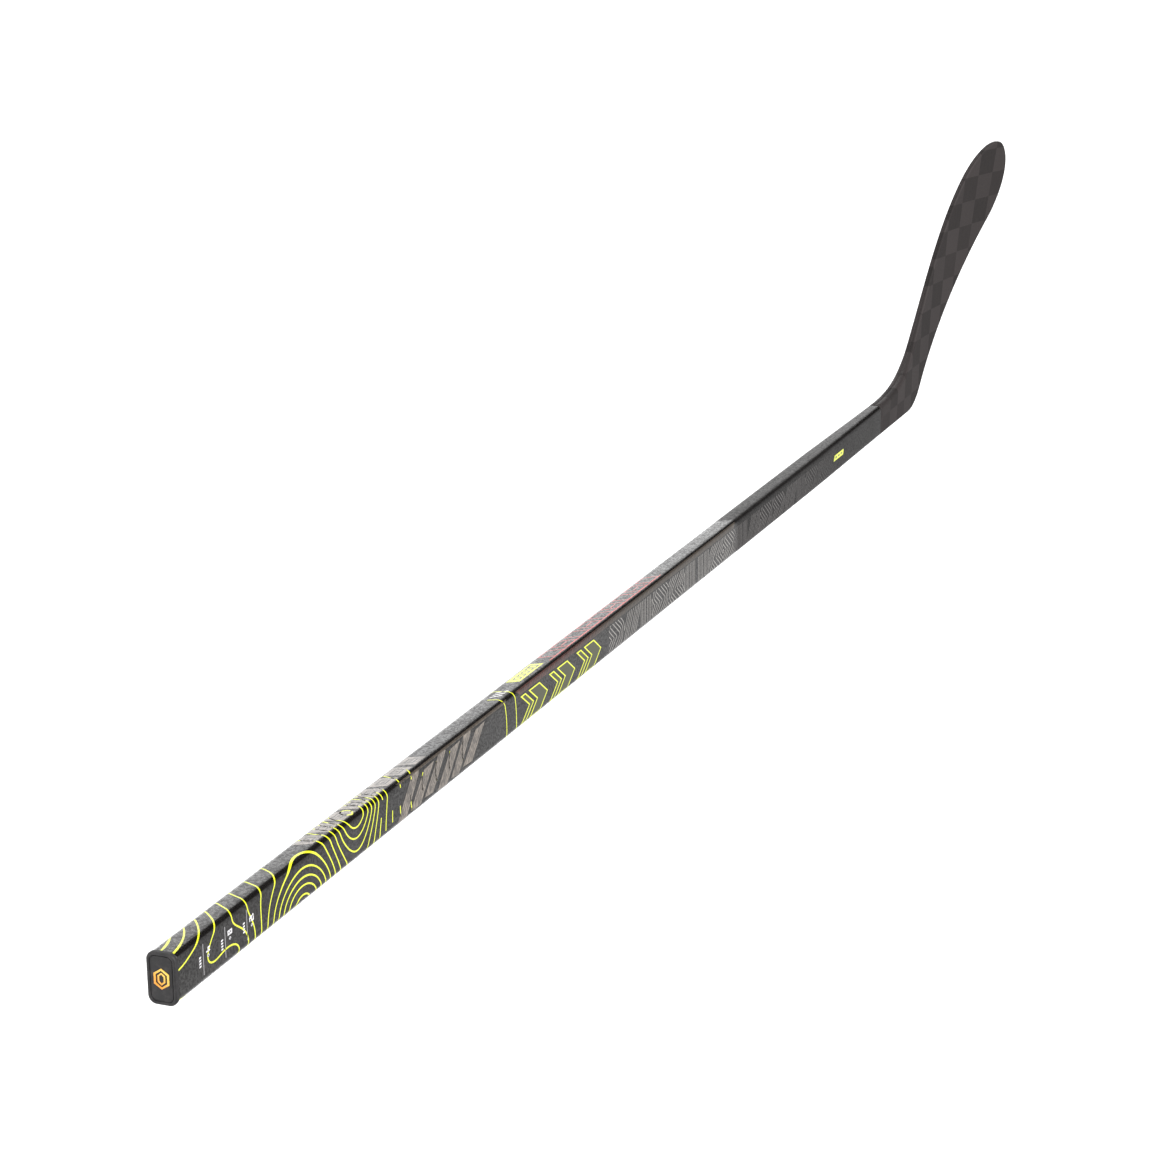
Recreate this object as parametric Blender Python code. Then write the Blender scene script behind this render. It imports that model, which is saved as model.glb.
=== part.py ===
"""Ice hockey stick: a hollow composite shaft, a cored composite blade and a pull-out butt plug.

The stick lies on the back of its shaft. +X runs along the shaft from the butt to the blade, +Y points
to the toe's side and +Z is up, out of the forehand face. All lengths are metres. The stick is modelled
from the centre of its butt face, and an empty then moves it so that the world origin is the middle of
the whole stick's underside.
"""

import math

import bmesh
import bpy
from mathutils import Vector

# Shaft: a rounded rectangle, thinning towards the blade.
SHAFT_WIDTH = 0.0305
SHAFT_THICKNESS = 0.0176
SHAFT_CORNER = 0.0050
SHAFT_WALL = 0.0018
SHAFT_END = 1.390
JOINT_GROOVE = 0.0009
TAPER_START = 1.170
STICK_LENGTH = 1.524

# Blade, measured from the heel's sharp corner: u along the bottom edge, v up the blade.
LIE_TURN = math.radians(43.0)
BLADE_LENGTH = 0.311
HEEL_RADIUS = 0.0620
HEEL_SHARE = 0.12
HEEL_HEIGHT = 0.050
TOE_SHARE = 0.78
TOE_HEIGHT = 0.071
TOE_LOW_SHARE = 0.61
THROAT_LENGTH = 0.136
ROCKER = 0.001
ROCKER_START = 0.35
CURVE_DEPTH = 0.042
CURVE_POWER = 2.25
FACE_OPENING = math.radians(11.0)
OPENING_AXIS = 0.030
EDGE_RADIUS_SHARE = 0.33

# The thickness at shares of the blade's length; a negative share is up the shaft.
THICKNESSES = ((-0.80, 0.0176), (-0.60, 0.0165), (-0.25, 0.0140), (0.0, 0.0115), (0.15, 0.0085),
               (0.40, 0.0065), (1.0, 0.0052))

# Blade laminate and core.
SKIN_WALL = 0.0008
RAIL_WIDTH = 0.0040
STRINGER_WIDTH = 0.0020
TENON_START = 1.335
HOSEL_STEPS = 6
GAP = 0.0003

# Butt plug.
CAP_OVERSIZE = 0.0008
CAP_THICKNESS = 0.0032
CAP_RIM = 0.0010
STEM_END = 0.0480
STEM_WALL = 0.0016
RIB_HEIGHT = 0.0005
RIB_LENGTH = 0.0050
RIB_STARTS = (0.0080, 0.0180, 0.0280, 0.0380)
EMBLEM_HALF_WIDTH = 0.0062
EMBLEM_HALF_HEIGHT = 0.0048
EMBLEM_LINE = 0.0013
EMBLEM_DEPTH = 0.0008
CUTTER_MARGIN = 0.001

# How finely round corners and the blade are cut.
CORNER_STEPS = 3
FACE_STEPS = 4
THROAT_STEPS = 9
BLADE_STEPS = 11
TOE_ANGLES = tuple(math.radians(angle) for angle in (12, 24, 36, 47, 57, 66, 74, 81, 87))

HALF_WIDTH = SHAFT_WIDTH / 2
HEEL = Vector((STICK_LENGTH, -HALF_WIDTH))
ALONG = Vector((math.cos(LIE_TURN), math.sin(LIE_TURN)))
UPWARD = Vector((-math.sin(LIE_TURN), math.cos(LIE_TURN)))
SKIN_START = SHAFT_END + JOINT_GROOVE
CORE_INSET = SKIN_WALL + GAP


# ---------------------------------------------------------------- helpers

def smooth_value(x, points):
    """A monotone cubic curve through (x, value) points, level at and outside its ends."""
    if x <= points[0][0]:
        return points[0][1]
    if x >= points[-1][0]:
        return points[-1][1]
    slopes = [(b[1] - a[1]) / (b[0] - a[0]) for a, b in zip(points, points[1:])]
    tangents = [0.0]
    for before, after in zip(slopes, slopes[1:]):
        same_way = before * after > 0
        tangents.append(2 * before * after / (before + after) if same_way else 0.0)
    tangents.append(0.0)
    for k, (a, b) in enumerate(zip(points, points[1:])):
        if x <= b[0]:
            width = b[0] - a[0]
            t = (x - a[0]) / width
            rise = (1 + 2 * t) * (1 - t) ** 2 * a[1] + t * t * (3 - 2 * t) * b[1]
            lean = t * (1 - t) ** 2 * tangents[k] - t * t * (1 - t) * tangents[k + 1]
            return rise + lean * width
    return points[-1][1]


def new_collection(name, hidden=False):
    collection = bpy.data.collections.new(name)
    collection.hide_render = hidden
    bpy.context.scene.collection.children.link(collection)
    return collection


def new_material(name, colour, roughness, metallic=0.0):
    material = bpy.data.materials.new(name)
    material.use_nodes = True
    shader = material.node_tree.nodes["Principled BSDF"]
    shader.inputs["Base Color"].default_value = (*colour, 1.0)
    shader.inputs["Roughness"].default_value = roughness
    shader.inputs["Metallic"].default_value = metallic
    return material


def new_object(name, bm, material, parent, collection):
    """Makes an object from a bmesh, with its normals pointing out."""
    bmesh.ops.recalc_face_normals(bm, faces=bm.faces)
    mesh = bpy.data.meshes.new(name)
    bm.to_mesh(mesh)
    bm.free()
    obj = bpy.data.objects.new(name, mesh)
    mesh.materials.append(material)
    mesh.shade_smooth()
    mesh.set_sharp_from_angle(angle=math.radians(35))
    collection.objects.link(obj)
    obj.parent = parent
    return obj


def join_rings(bm, rings, closed_ring=True):
    """Makes a band of faces between each ring of vertices and the next."""
    for ring, following in zip(rings, rings[1:]):
        count = len(ring)
        for i in range(count if closed_ring else count - 1):
            j = (i + 1) % count
            bm.faces.new((ring[i], ring[j], following[j], following[i]))


def loft(name, rings, material, parent, collection, looped=False):
    """A solid through rings of points: its ends are capped, or with looped they meet as in a tube."""
    bm = bmesh.new()
    vertex_rings = [[bm.verts.new(point) for point in ring] for ring in rings]
    if looped:
        join_rings(bm, vertex_rings + vertex_rings[:1])
    else:
        join_rings(bm, vertex_rings)
        bm.faces.new(vertex_rings[0])
        bm.faces.new(vertex_rings[-1])
    return new_object(name, bm, material, parent, collection)


def arc(centre, radius, start, end, steps):
    """Points of an arc in a plane, from one angle in degrees to another."""
    points = []
    for k in range(steps + 1):
        angle = math.radians(start + (end - start) * k / steps)
        points.append((centre[0] + radius * math.cos(angle), centre[1] + radius * math.sin(angle)))
    return points


def rounded_ring(x, width, thickness, corner):
    """A rounded rectangle across the shaft's axis at x."""
    y, z = width / 2 - corner, thickness / 2 - corner
    outline = (arc((y, z), corner, 0, 90, CORNER_STEPS) + arc((-y, z), corner, 90, 180, CORNER_STEPS)
               + arc((-y, -z), corner, 180, 270, CORNER_STEPS) + arc((y, -z), corner, 270, 360, CORNER_STEPS))
    return [(x, across, up) for across, up in outline]


# ---------------------------------------------------------------- the blade's shape

def blade_share(x, y):
    """How far along the blade a point lies, as a share of its length; negative on the shaft."""
    return (Vector((x, y)) - HEEL).dot(ALONG) / BLADE_LENGTH


def lift(x, y):
    """Height of the middle surface: the blade curves towards the forehand and its face opens."""
    share = max(blade_share(x, y), 0.0)
    upward = (Vector((x, y)) - HEEL).dot(UPWARD)
    opening = (upward - OPENING_AXIS) * math.tan(FACE_OPENING) * min(share, 1.0)
    return CURVE_DEPTH * share ** CURVE_POWER - opening


def thickness_at(x, y):
    return smooth_value(blade_share(x, y), THICKNESSES)


def bottom_rise(u):
    """The rocker: how far the bottom edge bends up towards the toe."""
    share = u / BLADE_LENGTH - ROCKER_START
    return ROCKER * (max(share, 0.0) / (1 - ROCKER_START)) ** 2


def height_at(u):
    """The blade's height, which rises smoothly from the heel to where the toe starts to round."""
    return smooth_value(u / BLADE_LENGTH, ((HEEL_SHARE, HEEL_HEIGHT), (TOE_SHARE, TOE_HEIGHT)))


def on_blade(u, v):
    return HEEL + u * ALONG + v * UPWARD


def throat_bottom(t):
    """The bottom edge from the shaft's end, round the heel, to the blade; t runs from 0 to 1."""
    tangent = HEEL_RADIUS * math.tan(LIE_TURN / 2)
    arc_start = STICK_LENGTH - tangent
    straight = arc_start - SKIN_START
    bend = HEEL_RADIUS * LIE_TURN
    distance = t * (straight + bend + HEEL_SHARE * BLADE_LENGTH - tangent)
    if distance < straight:
        return Vector((SKIN_START + distance, -HALF_WIDTH))
    if distance < straight + bend:
        angle = (distance - straight) / HEEL_RADIUS
        return Vector((arc_start + HEEL_RADIUS * math.sin(angle),
                       -HALF_WIDTH + HEEL_RADIUS * (1 - math.cos(angle))))
    return on_blade(distance - straight - bend + tangent, 0.0)


def throat_top(t):
    """The top edge from the shaft's end along the throat's curve to the blade."""
    finish = on_blade(HEEL_SHARE * BLADE_LENGTH, HEEL_HEIGHT)
    start = Vector((finish.x - THROAT_LENGTH, HALF_WIDTH))
    flat = start.x - SKIN_START
    distance = t * (flat + (finish - start).length)
    if distance < flat:
        return Vector((SKIN_START + distance, HALF_WIDTH))
    s = (distance - flat) / (finish - start).length
    pull = (finish - start).length
    ends = (1 + 2 * s) * (1 - s) ** 2 * start + s * s * (3 - 2 * s) * finish
    leave = s * (1 - s) ** 2 * pull * Vector((1.0, 0.0))
    arrive = s * s * (1 - s) * pull * ALONG
    return ends + leave - arrive


class Station:
    """One cut across the blade: its two edge points, and how the cut moves as the outline is inset."""

    def __init__(self, bottom, top, toe_angle=None):
        self.bottom = bottom
        self.top = top
        self.toe_angle = toe_angle

    def edges(self, inset):
        """The edge points of the outline moved inwards by inset."""
        if self.toe_angle is None:
            across = (self.top - self.bottom).normalized()
            return self.bottom + across * inset, self.top - across * inset
        u, low, tip, high = toe_frame()
        reach = (BLADE_LENGTH - u - inset) * math.sin(self.toe_angle)
        share = math.cos(self.toe_angle)
        return (on_blade(u + reach, tip - (tip - low - inset) * share),
                on_blade(u + reach, tip + (high - tip - inset) * share))

    def section(self, inset, low=None, high=None, side=0, seam=0.0):
        """Points of the cut, inset from the outline, from the bottom edge to the top edge and back.

        low and high cut it square at those distances from the bottom edge; side keeps only the
        forehand half (1) or the backhand half (-1), which starts at seam from the middle.
        """
        bottom, top = self.edges(inset)
        height = (top - bottom).length
        across = (top - bottom) / height
        middle = (bottom + top) / 2
        half = thickness_at(*middle) / 2 - inset
        corner = min(SHAFT_CORNER, EDGE_RADIUS_SHARE * 2 * (half + inset)) - inset
        corner = min(max(corner, GAP), height / 2.2, half * 0.9)
        first, last = 0.0, height
        outline = []
        if low is None:
            outline += arc((corner, half - corner), corner, 180, 90, CORNER_STEPS)
        else:
            first = low - inset
            outline.append((first, half))
        if high is None:
            far = arc((height - corner, half - corner), corner, 90, 0, CORNER_STEPS)
        else:
            last = high - inset
            far = [(last, half)]
        near_end, far_start = outline[-1][0], far[0][0]
        for k in range(1, FACE_STEPS):
            outline.append((near_end + (far_start - near_end) * k / FACE_STEPS, half))
        outline += far
        if side:
            outline = [(first, seam)] + outline + [(last, seam)]
            outline = [(a, side * z) for a, z in outline]
        else:
            outline += [(a, -z) for a, z in reversed(outline)]
        points = []
        for a, z in outline:
            place = bottom + across * a
            points.append((place.x, place.y, lift(place.x, place.y) + z))
        return points


def toe_frame():
    """Where the rounded toe starts: its u, and the v of its low, tip and high points."""
    u = TOE_SHARE * BLADE_LENGTH
    low = bottom_rise(u)
    return u, low, low + TOE_LOW_SHARE * TOE_HEIGHT, low + TOE_HEIGHT


def throat_station(t):
    return Station(throat_bottom(t), throat_top(t))


def blade_station(u):
    low = bottom_rise(u)
    return Station(on_blade(u, low), on_blade(u, low + height_at(u)))


def toe_station(angle):
    u, low, tip, high = toe_frame()
    reach = (BLADE_LENGTH - u) * math.sin(angle)
    share = math.cos(angle)
    return Station(on_blade(u + reach, tip - (tip - low) * share),
                   on_blade(u + reach, tip + (high - tip) * share), angle)


def evenly(start, end, steps):
    return [start + (end - start) * k / steps for k in range(steps + 1)]


# ---------------------------------------------------------------- the shaft

def make_shaft_tube(stick, collection):
    """The hollow shaft: one straight stretch and a thinning one, open at both ends."""
    start = CAP_THICKNESS + GAP
    places = [start, TAPER_START] + evenly(TAPER_START, SHAFT_END, 7)[1:]
    outer, inner = [], []
    for x in places:
        thickness = thickness_at(x, 0.0)
        corner = min(SHAFT_CORNER, EDGE_RADIUS_SHARE * thickness)
        outer.append(rounded_ring(x, SHAFT_WIDTH, thickness, corner))
        inner.append(rounded_ring(x, SHAFT_WIDTH - 2 * SHAFT_WALL, thickness - 2 * SHAFT_WALL,
                                  SHAFT_CORNER - SHAFT_WALL))
    carbon = new_material("shaft_carbon", (0.030, 0.031, 0.034), 0.30)
    return loft("shaft_tube", outer + inner[::-1], carbon, stick, collection, looped=True)


# ---------------------------------------------------------------- the butt plug

def make_cap_cutter(plug, cutters):
    """The hexagonal recess that the emblem lies in."""
    outline = hexagon(EMBLEM_HALF_WIDTH + GAP, EMBLEM_HALF_HEIGHT + GAP)
    material = new_material("cutter", (0.8, 0.2, 0.2), 0.5)
    depth = EMBLEM_DEPTH + GAP
    rings = [[(x, y, z) for y, z in outline] for x in (-CUTTER_MARGIN, depth)]
    cutter = loft("emblem_recess", rings, material, plug, cutters)
    cutter.hide_render = True
    cutter.display_type = "WIRE"
    return cutter


def make_end_cap(plug, collection, cutters):
    """The cap that covers the butt: a plate with a soft rim, glued to the stem's root."""
    width, thickness = SHAFT_WIDTH + CAP_OVERSIZE, SHAFT_THICKNESS + CAP_OVERSIZE
    rings = [rounded_ring(CAP_THICKNESS, width, thickness, SHAFT_CORNER),
             rounded_ring(CAP_RIM, width, thickness, SHAFT_CORNER),
             rounded_ring(CAP_RIM * 0.3, width - CAP_RIM * 0.6, thickness - CAP_RIM * 0.6, SHAFT_CORNER),
             rounded_ring(0.0, width - 2 * CAP_RIM, thickness - 2 * CAP_RIM, SHAFT_CORNER - CAP_RIM)]
    rubber = new_material("cap_rubber", (0.045, 0.045, 0.047), 0.75)
    cap = loft("end_cap", rings, rubber, plug, collection)
    cut = cap.modifiers.new("emblem_recess", "BOOLEAN")
    cut.operation = "DIFFERENCE"
    cut.solver = "EXACT"
    cut.object = make_cap_cutter(plug, cutters)
    return cap


def make_plug_stem(plug, collection):
    """The stem inside the bore: a cup with crush ribs round it, open towards the blade."""
    root = CAP_THICKNESS + GAP
    width = SHAFT_WIDTH - 2 * SHAFT_WALL - 2 * GAP
    thickness = SHAFT_THICKNESS - 2 * SHAFT_WALL - 2 * GAP
    corner = SHAFT_CORNER - SHAFT_WALL - GAP

    def ring(x, inset):
        return rounded_ring(x, width - 2 * inset, thickness - 2 * inset, corner - inset)

    rings = [ring(root, RIB_HEIGHT)]
    for start in RIB_STARTS:
        rings += [ring(start, RIB_HEIGHT), ring(start, 0.0),
                  ring(start + RIB_LENGTH * 0.4, 0.0), ring(start + RIB_LENGTH, RIB_HEIGHT)]
    rings += [ring(STEM_END, RIB_HEIGHT), ring(STEM_END, RIB_HEIGHT + STEM_WALL),
              ring(root + STEM_WALL, RIB_HEIGHT + STEM_WALL)]
    plastic = new_material("plug_plastic", (0.06, 0.06, 0.065), 0.5)
    return loft("plug_stem", rings, plastic, plug, collection)


def hexagon(half_width, half_height):
    """A long hexagon across the shaft's axis, pointed towards the narrow sides."""
    return [(half_width, 0.0), (half_width * 0.5, half_height), (-half_width * 0.5, half_height),
            (-half_width, 0.0), (-half_width * 0.5, -half_height), (half_width * 0.5, -half_height)]


def make_cap_emblem(plug, collection):
    """A plain hexagonal ring let into the cap's face."""
    outer = hexagon(EMBLEM_HALF_WIDTH, EMBLEM_HALF_HEIGHT)
    inner = hexagon(EMBLEM_HALF_WIDTH - EMBLEM_LINE, EMBLEM_HALF_HEIGHT - EMBLEM_LINE)
    rings = [[(x, y, z) for y, z in outline]
             for x, outline in ((0.0, outer), (EMBLEM_DEPTH, outer), (EMBLEM_DEPTH, inner), (0.0, inner))]
    orange = new_material("emblem_orange", (0.62, 0.16, 0.02), 0.45)
    return loft("cap_emblem", rings, orange, plug, collection, looped=True)


# ---------------------------------------------------------------- the blade's pieces

THROAT_PLACES = evenly(0.0, 1.0, THROAT_STEPS)
BLADE_PLACES = evenly(HEEL_SHARE * BLADE_LENGTH, TOE_SHARE * BLADE_LENGTH, BLADE_STEPS)


def skin_stations():
    blade = [blade_station(u) for u in BLADE_PLACES[1:]]
    return [throat_station(t) for t in THROAT_PLACES] + blade + [toe_station(angle) for angle in TOE_ANGLES]


def make_skin(name, side, stick, collection):
    """Half of the blade's shell: a shallow tray that reaches the seam round the blade's edge."""
    bm = bmesh.new()
    outer, inner = [], []
    for station in skin_stations():
        for rings, inset in ((outer, 0.0), (inner, SKIN_WALL)):
            points = station.section(inset, side=side, seam=GAP / 2)
            rings.append([bm.verts.new(point) for point in points])
    join_rings(bm, outer, closed_ring=False)
    join_rings(bm, inner, closed_ring=False)
    for end in (0, -1):
        join_rings(bm, [[ring[end] for ring in outer], [ring[end] for ring in inner]], closed_ring=False)
    join_rings(bm, [outer[0], inner[0]], closed_ring=False)
    bm.faces.new(outer[-1])
    bm.faces.new(inner[-1])
    bm.faces.new((outer[-1][0], outer[-1][-1], inner[-1][-1], inner[-1][0]))
    carbon = new_material(name, (0.060, 0.054, 0.055), 0.42)
    return new_object(name, bm, carbon, stick, collection)


def make_hosel_core(stick, collection):
    """The tongue glued into the shaft's bore, and the core of the throat behind it."""
    rings = []
    shoulder = SKIN_START + GAP
    for x in evenly(TENON_START, shoulder, 3):
        thickness = thickness_at(x, 0.0) - 2 * SHAFT_WALL - 2 * GAP
        rings.append(rounded_ring(x, SHAFT_WIDTH - 2 * SHAFT_WALL - 2 * GAP, thickness,
                                  SHAFT_CORNER - SHAFT_WALL - GAP))
    head = rounded_ring(shoulder, SHAFT_WIDTH - 2 * CORE_INSET, thickness_at(shoulder, 0.0) - 2 * CORE_INSET,
                        SHAFT_CORNER - CORE_INSET)
    rings.append(head)
    fibre = new_material("hosel_fibre", (0.10, 0.09, 0.06), 0.6)
    tongue_end = len(rings)
    throat = [throat_station(t).section(CORE_INSET) for t in THROAT_PLACES[1:HOSEL_STEPS + 1]]
    return loft("hosel_core", matched(rings, tongue_end) + throat, fibre, stick, collection)


def matched(rings, count):
    """Rings across the shaft given the points that the throat's sections have, in the same order."""
    result = []
    for ring in rings[:count]:
        corner_points = CORNER_STEPS + 1
        top_high = ring[:corner_points]
        top_low = ring[corner_points:2 * corner_points]
        bottom_low = ring[2 * corner_points:3 * corner_points]
        bottom_high = ring[3 * corner_points:]
        start, end = Vector(top_low[0]), Vector(top_high[-1])
        front = [tuple(start.lerp(end, k / FACE_STEPS)) for k in range(1, FACE_STEPS)]
        start, end = Vector(bottom_high[0]), Vector(bottom_low[-1])
        back = [tuple(start.lerp(end, k / FACE_STEPS)) for k in range(1, FACE_STEPS)]
        result.append(top_low[::-1] + front + top_high[::-1] + bottom_high[::-1] + back + bottom_low[::-1])
    return result


def make_heel_block(stick, collection):
    """The solid block in the heel, between the hosel's core and the blade's cores."""
    gap_share = 0.004
    start = THROAT_PLACES[HOSEL_STEPS] + gap_share
    stations = [throat_station(t) for t in [start] + THROAT_PLACES[HOSEL_STEPS + 1:]]
    stations.append(blade_station(BLADE_PLACES[1] - GAP))
    resin = new_material("heel_resin", (0.08, 0.075, 0.06), 0.5)
    return loft("heel_block", [station.section(CORE_INSET) for station in stations], resin, stick, collection)


def make_toe_insert(stick, collection):
    """The hard insert that fills the rounded toe."""
    angles = (0.004,) + TOE_ANGLES
    rings = [toe_station(angle).section(CORE_INSET) for angle in angles]
    plastic = new_material("toe_plastic", (0.05, 0.05, 0.05), 0.5)
    return loft("toe_insert", rings, plastic, stick, collection)


def core_bands(height):
    """Each inner bar's low and high side, as distances from the bottom edge, at one blade height."""
    widths = [RAIL_WIDTH, None, STRINGER_WIDTH, None, STRINGER_WIDTH, None, RAIL_WIDTH]
    names = ["bottom_rail", "lower_core", "lower_stringer", "middle_core", "upper_stringer", "upper_core",
             "top_rail"]
    hard = sum(width for width in widths if width)
    foam = (height - 2 * CORE_INSET - hard - GAP * (len(widths) - 1)) / widths.count(None)
    bands, place = {}, CORE_INSET
    for name, width in zip(names, widths):
        reach = width or foam
        bands[name] = (place, place + reach)
        place += reach + GAP
    return bands


def make_core_bars(stick, collection):
    """Rails, foam cores and stringers, side by side from the heel block to the toe insert."""
    foam = new_material("core_foam", (0.55, 0.50, 0.38), 0.9)
    rope = new_material("rail_fibre", (0.05, 0.05, 0.055), 0.5)
    rib = new_material("stringer_carbon", (0.03, 0.03, 0.035), 0.4)
    stations = [blade_station(u) for u in BLADE_PLACES[1:]]
    for name in core_bands(HEEL_HEIGHT):
        rings = []
        for station in stations:
            low, high = core_bands((station.top - station.bottom).length)[name]
            low = None if name == "bottom_rail" else low
            high = None if name == "top_rail" else high
            rings.append(station.section(CORE_INSET, low=low, high=high))
        material = foam if name.endswith("core") else rib if name.endswith("stringer") else rope
        loft(name, rings, material, stick, collection)


# ---------------------------------------------------------------- putting it together

def centre_underside(collection):
    """Where the middle of the whole stick's underside lies, from the pieces as they are built."""
    bpy.context.view_layer.update()
    graph = bpy.context.evaluated_depsgraph_get()
    corners = []
    for obj in collection.objects:
        if obj.type == "MESH":
            shape = obj.evaluated_get(graph)
            corners += [shape.matrix_world @ vertex.co for vertex in shape.data.vertices]
    low = [min(corner[axis] for corner in corners) for axis in range(3)]
    high = [max(corner[axis] for corner in corners) for axis in range(3)]
    return Vector(((low[0] + high[0]) / 2, (low[1] + high[1]) / 2, low[2]))


def main():
    for obj in list(bpy.data.objects):
        bpy.data.objects.remove(obj)
    collection = new_collection("ice_hockey_stick")
    cutters = new_collection("cutters", hidden=True)
    stick = bpy.data.objects.new("stick_frame", None)
    plug = bpy.data.objects.new("plug_slide", None)
    plug.parent = stick
    collection.objects.link(stick)
    collection.objects.link(plug)

    make_shaft_tube(stick, collection)
    make_end_cap(plug, collection, cutters)
    make_plug_stem(plug, collection)
    make_cap_emblem(plug, collection)
    make_hosel_core(stick, collection)
    make_heel_block(stick, collection)
    make_toe_insert(stick, collection)
    make_core_bars(stick, collection)
    make_skin("front_skin", 1, stick, collection)
    make_skin("back_skin", -1, stick, collection)

    stick.location = -centre_underside(collection)


main()
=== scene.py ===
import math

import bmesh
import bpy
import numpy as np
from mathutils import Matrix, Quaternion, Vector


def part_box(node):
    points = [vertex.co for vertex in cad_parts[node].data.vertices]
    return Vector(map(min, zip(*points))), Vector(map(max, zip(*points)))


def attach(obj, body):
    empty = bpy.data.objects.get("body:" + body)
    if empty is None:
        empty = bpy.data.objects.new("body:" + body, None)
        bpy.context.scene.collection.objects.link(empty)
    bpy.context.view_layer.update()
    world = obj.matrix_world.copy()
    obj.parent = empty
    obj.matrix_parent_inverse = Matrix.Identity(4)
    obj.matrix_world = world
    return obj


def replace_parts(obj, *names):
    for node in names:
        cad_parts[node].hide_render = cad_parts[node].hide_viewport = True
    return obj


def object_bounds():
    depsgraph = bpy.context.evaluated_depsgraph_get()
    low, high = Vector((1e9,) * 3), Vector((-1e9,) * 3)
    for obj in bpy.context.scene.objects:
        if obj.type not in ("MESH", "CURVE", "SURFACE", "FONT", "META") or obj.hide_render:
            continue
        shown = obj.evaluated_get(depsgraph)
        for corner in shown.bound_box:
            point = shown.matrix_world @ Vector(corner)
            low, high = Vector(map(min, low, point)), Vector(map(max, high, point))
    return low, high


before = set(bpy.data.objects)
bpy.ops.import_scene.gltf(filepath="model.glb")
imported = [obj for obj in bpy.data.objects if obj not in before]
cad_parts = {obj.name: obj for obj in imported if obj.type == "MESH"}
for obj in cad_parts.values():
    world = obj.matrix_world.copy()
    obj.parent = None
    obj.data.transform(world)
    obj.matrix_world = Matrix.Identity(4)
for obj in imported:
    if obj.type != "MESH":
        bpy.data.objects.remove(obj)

# The looks of the ice hockey stick: a printed hollow shaft, a woven blade and a rubber butt plug.
#
# Everything is placed in the stick's own frame, measured from the centre of the butt face: "along" runs
# down the shaft, "around" runs round it from the middle of the forehand face, positive towards the toe's
# side, and "height" stands out of the surface. shaft_points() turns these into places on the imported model.

MM = 0.001
cad_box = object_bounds()

# ---- the design's sizes, as the CAD has them

SHAFT_WIDTH = 0.0305
SHAFT_THICKNESS = 0.0176
SHAFT_CORNER = 0.0050
SHAFT_WALL = 0.0018
SHAFT_END = 1.390
TAPER_START = 1.170
STICK_LENGTH = 1.524

LIE_TURN = math.radians(43.0)
BLADE_LENGTH = 0.311
HEEL_RADIUS = 0.0620
HEEL_SHARE = 0.12
HEEL_HEIGHT = 0.050
TOE_SHARE = 0.78
TOE_HEIGHT = 0.071
TOE_LOW_SHARE = 0.61
THROAT_LENGTH = 0.136
ROCKER = 0.001
ROCKER_START = 0.35
CURVE_DEPTH = 0.042
CURVE_POWER = 2.25
FACE_OPENING = math.radians(11.0)
OPENING_AXIS = 0.030
EDGE_RADIUS_SHARE = 0.33
THICKNESSES = ((-0.80, 0.0176), (-0.60, 0.0165), (-0.25, 0.0140), (0.0, 0.0115), (0.15, 0.0085),
               (0.40, 0.0065), (1.0, 0.0052))
SKIN_WALL = 0.0008
SKIN_START = SHAFT_END + 0.00003

CAP_OVERSIZE = 0.0008
CAP_THICKNESS = 0.0032
STEM_END = 0.0480
STEM_WALL = 0.0016
RIB_HEIGHT = 0.0005
RIB_LENGTH = 0.0050
RIB_STARTS = (0.0080, 0.0180, 0.0280, 0.0380)
EMBLEM_HALF_WIDTH = 0.0062
EMBLEM_HALF_HEIGHT = 0.0048
EMBLEM_LINE = 0.0013
GAP = 0.0003

# ---- how finely the visible meshes are cut

CORNER_STEPS = 10
FACE_STEPS = 26
THROAT_STEPS = 44
BLADE_STEPS = 56
TOE_STEPS = 40

# ---- where the stick lies

cap_low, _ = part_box("end_cap")
tube_low, tube_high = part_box("shaft_tube")
BUTT = Vector((cap_low.x, (tube_low.y + tube_high.y) / 2, (tube_low.z + tube_high.z) / 2))
HEEL = Vector((STICK_LENGTH, -SHAFT_WIDTH / 2))
ALONG = Vector((math.cos(LIE_TURN), math.sin(LIE_TURN)))
UPWARD = Vector((-math.sin(LIE_TURN), math.cos(LIE_TURN)))


# ---- small helpers: curves, rings and objects

def smooth_value(x, points):
    """A monotone cubic curve through (x, value) points, level at and outside its ends."""
    if x <= points[0][0]:
        return points[0][1]
    if x >= points[-1][0]:
        return points[-1][1]
    slopes = [(b[1] - a[1]) / (b[0] - a[0]) for a, b in zip(points, points[1:])]
    tangents = [0.0]
    for before, after in zip(slopes, slopes[1:]):
        same_way = before * after > 0
        tangents.append(2 * before * after / (before + after) if same_way else 0.0)
    tangents.append(0.0)
    for k, (a, b) in enumerate(zip(points, points[1:])):
        if x <= b[0]:
            width = b[0] - a[0]
            t = (x - a[0]) / width
            rise = (1 + 2 * t) * (1 - t) ** 2 * a[1] + t * t * (3 - 2 * t) * b[1]
            lean = t * (1 - t) ** 2 * tangents[k] - t * t * (1 - t) * tangents[k + 1]
            return rise + lean * width


def evenly(start, end, steps):
    return [start + (end - start) * k / steps for k in range(steps + 1)]


def arc(centre, radius, start, end, steps):
    """Points of an arc in a plane, from one angle in degrees to another."""
    angles = [math.radians(angle) for angle in evenly(start, end, steps)]
    return [(centre[0] + radius * math.cos(a), centre[1] + radius * math.sin(a)) for a in angles]


def join_rings(bm, rings, closed_ring=True, capped=False):
    """Spans faces from each ring to the next, and over the first and the last ring if they are capped."""
    for ring, following in zip(rings, rings[1:]):
        count = len(ring)
        for i in range(count if closed_ring else count - 1):
            j = (i + 1) % count
            bm.faces.new((ring[i], ring[j], following[j], following[i]))
    if capped:
        bm.faces.new(rings[0])
        bm.faces.new(rings[-1])


def add_object(name, data):
    obj = bpy.data.objects.new(name, data)
    bpy.context.scene.collection.objects.link(obj)
    return obj


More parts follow.
